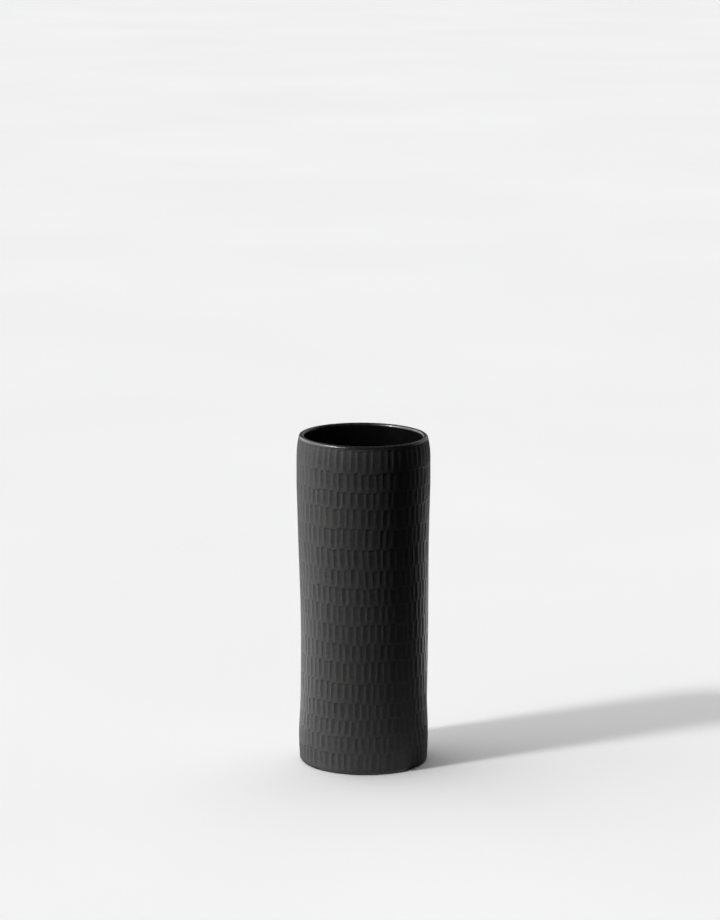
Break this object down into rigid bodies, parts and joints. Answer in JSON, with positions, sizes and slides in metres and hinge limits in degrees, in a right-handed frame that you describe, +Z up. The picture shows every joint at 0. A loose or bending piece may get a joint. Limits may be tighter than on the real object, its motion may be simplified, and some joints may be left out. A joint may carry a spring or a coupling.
{
  "type": "stoneware vase",
  "caption": "Tall straight stoneware vase, hand-cut outside in rows of short upright gouges, with a rounded lip and a glossy glaze inside.",
  "frame": {"origin": "centre of the face that the vase stands on", "axes": "+Z up along the vase's axis, towards the mouth; +X to the right and +Y away, as the vase is seen from the front"},
  "size_m": [0.0999, 0.0998, 0.25],
  "materials": {
    "carved_clay": "matte",
    "bare_clay": "matte",
    "gloss_glaze": "gloss",
    "lip_glaze": "satin"
  },
  "bodies": {
    "root": {"foot_ring": "carved_clay", "floor_slab": "bare_clay", "carved_wall": "carved_clay", "corner_coil": "bare_clay", "lip": "carved_clay", "wall_glaze": "gloss_glaze", "floor_glaze": "gloss_glaze", "lip_glaze": "lip_glaze"}
  },
  "joints": []
}
